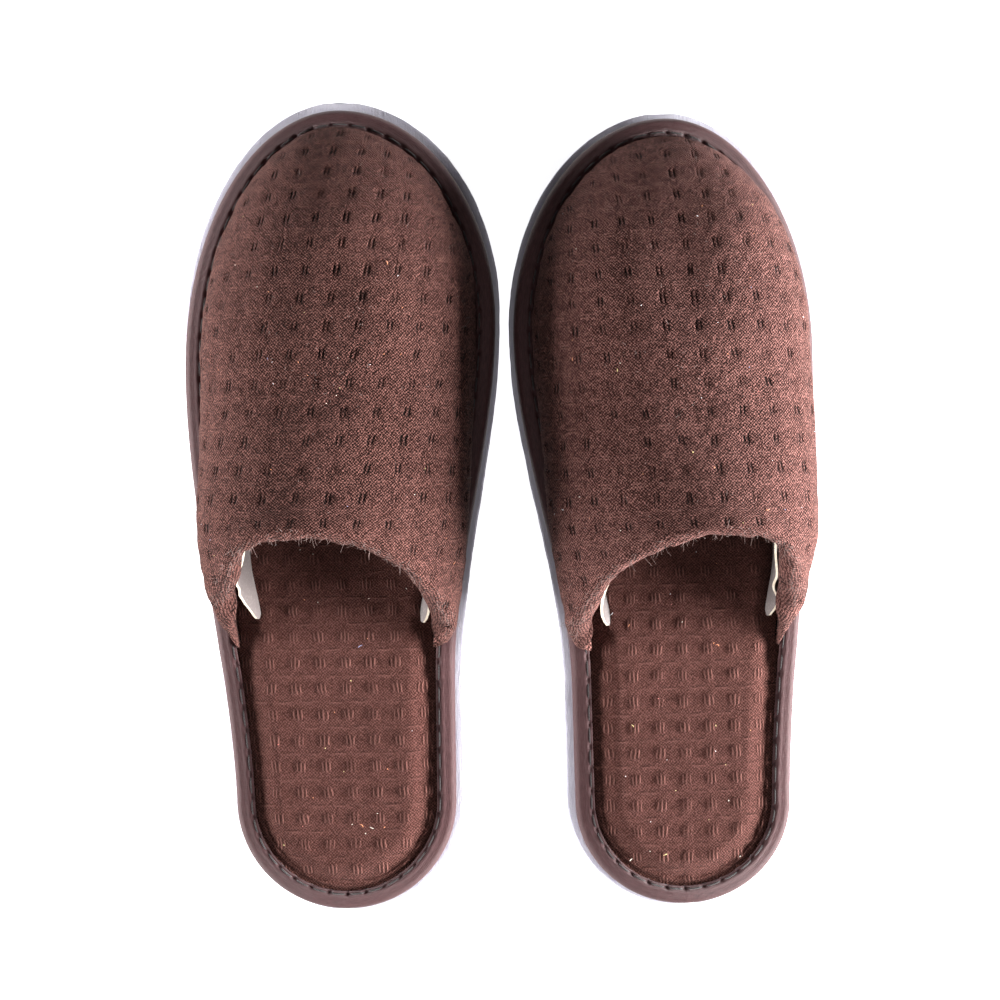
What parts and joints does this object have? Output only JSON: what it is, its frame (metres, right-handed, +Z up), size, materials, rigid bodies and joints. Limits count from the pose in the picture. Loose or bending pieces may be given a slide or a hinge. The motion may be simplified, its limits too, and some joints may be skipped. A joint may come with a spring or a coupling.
{
  "type": "spa slippers",
  "caption": "Pair of closed-toe spa slippers with a padded waffle-cloth vamp, a bound insole, a foam outsole and a loose shaper card in each vamp.",
  "frame": {"origin": "on the floor, under the middle of the pair", "axes": "+Y towards the toes, +X from the left slipper to the right one, +Z up"},
  "size_m": [0.222, 0.2854, 0.058],
  "materials": {
    "sole_foam": "matte white foam with a cut edge",
    "board": "pale pressed board",
    "padding": "cream foam padding",
    "waffle_cloth": "brown waffle-weave cotton",
    "binding_tape": "purple-brown satin tape",
    "thread": "dark brown thread",
    "lining_cloth": "plain brown cloth",
    "shaper_card": "off-white stiff card"
  },
  "bodies": {
    "left_slipper": {"left_outsole": "sole_foam", "left_insole_board": "board", "left_insole_foam": "padding", "left_insole_cover": "waffle_cloth", "left_binding_tape": "binding_tape", "left_binding_stitching": "thread", "left_vamp_cover": "waffle_cloth", "left_vamp_foam": "padding", "left_vamp_lining": "lining_cloth"},
    "left_shaper": {"left_vamp_shaper": "shaper_card"},
    "right_slipper": {"right_outsole": "sole_foam", "right_insole_board": "board", "right_insole_foam": "padding", "right_insole_cover": "waffle_cloth", "right_binding_tape": "binding_tape", "right_binding_stitching": "thread", "right_vamp_cover": "waffle_cloth", "right_vamp_foam": "padding", "right_vamp_lining": "lining_cloth"},
    "right_shaper": {"right_vamp_shaper": "shaper_card"}
  },
  "joints": [
    {"name": "right_slipper_slide", "type": "slide", "parent": "left_slipper", "child": "right_slipper", "axis": [1, 0, 0], "range_m": [0, 0.25]},
    {"name": "left_shaper_slide", "type": "slide", "parent": "left_slipper", "child": "left_shaper", "axis": [0.013, -0.9999, 0], "range_m": [0, 0.15]},
    {"name": "right_shaper_slide", "type": "slide", "parent": "right_slipper", "child": "right_shaper", "axis": [0.03, -0.9996, 0], "range_m": [0, 0.15]}
  ]
}
